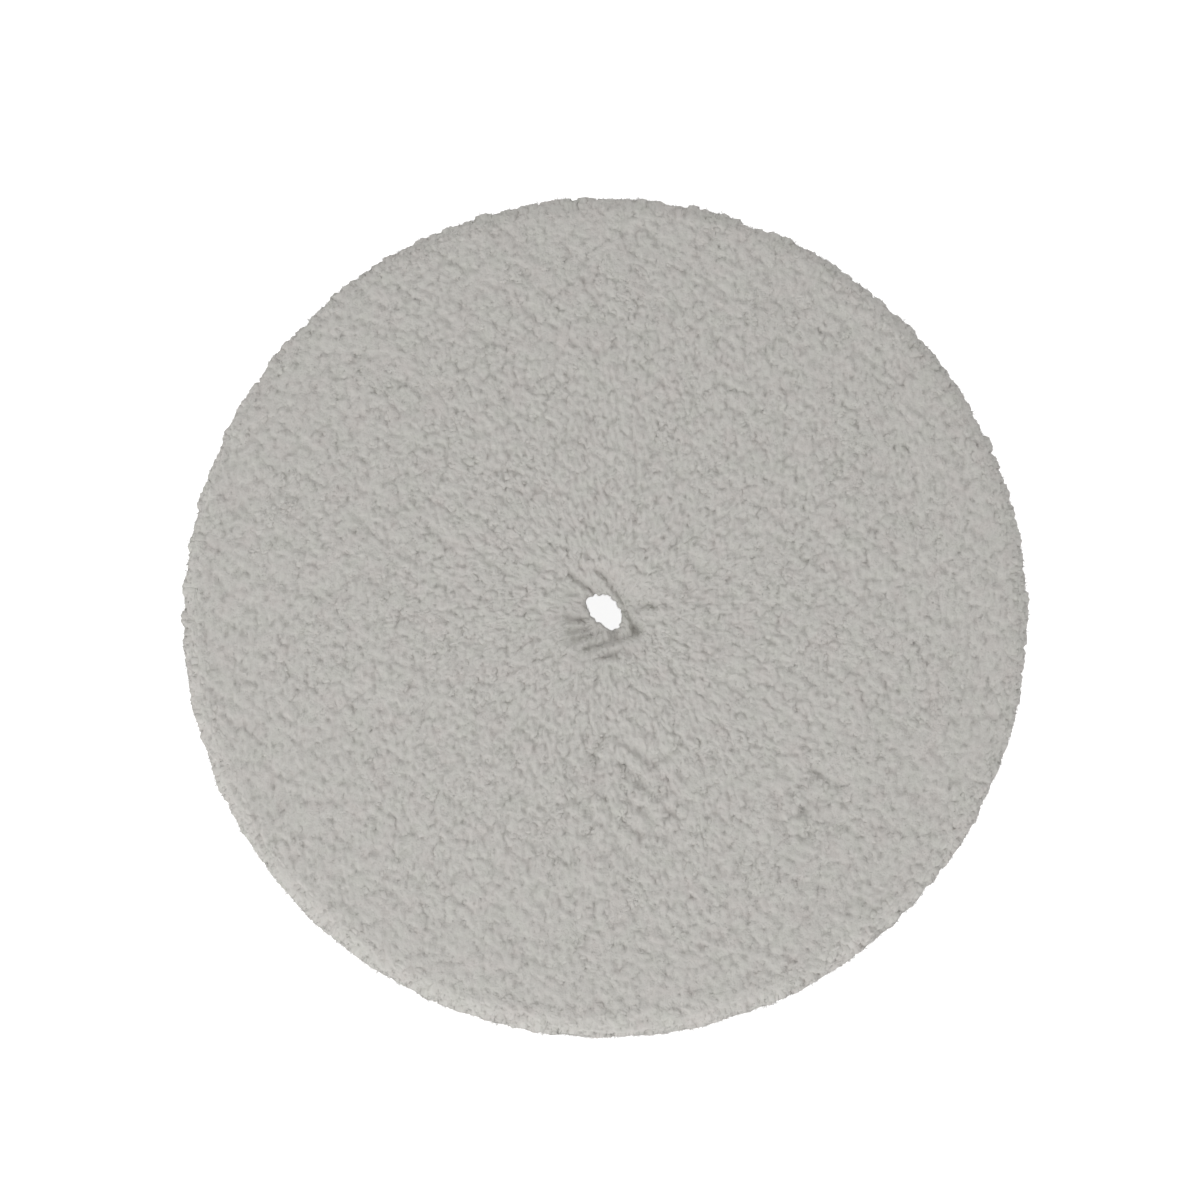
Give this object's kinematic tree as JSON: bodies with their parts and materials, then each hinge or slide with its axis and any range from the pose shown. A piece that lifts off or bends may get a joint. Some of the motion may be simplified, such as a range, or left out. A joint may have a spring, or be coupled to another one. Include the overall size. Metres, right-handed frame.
{
  "type": "polishing pad",
  "caption": "Round single-sided wool polishing pad with a moulded backing disc, a loop facing behind and a centring hole.",
  "frame": {"origin": "centre of the loop face, which the pad lies on", "axes": "+Z out of the wool face along the hole's axis, +X and +Y across the face"},
  "size_m": [0.2032, 0.2032, 0.0318],
  "materials": {
    "wool": "matt cut pile of twisted undyed wool yarn",
    "cloth": "plain woven ground cloth",
    "loop": "brushed nylon loop",
    "thread": "twisted bonded sewing thread",
    "binder": "dried latex",
    "disc": "moulded polyurethane, satin",
    "film": "clear contact adhesive"
  },
  "bodies": {
    "root": {"loop_facing": "loop", "facing_adhesive": "film", "backing_disc": "disc", "binder_coat": "binder", "ground_cloth": "cloth", "wool_pile": "wool", "edge_seam_face_thread": "thread", "edge_seam_back_thread": "thread", "centre_seam_face_thread": "thread", "centre_seam_back_thread": "thread"}
  },
  "joints": []
}
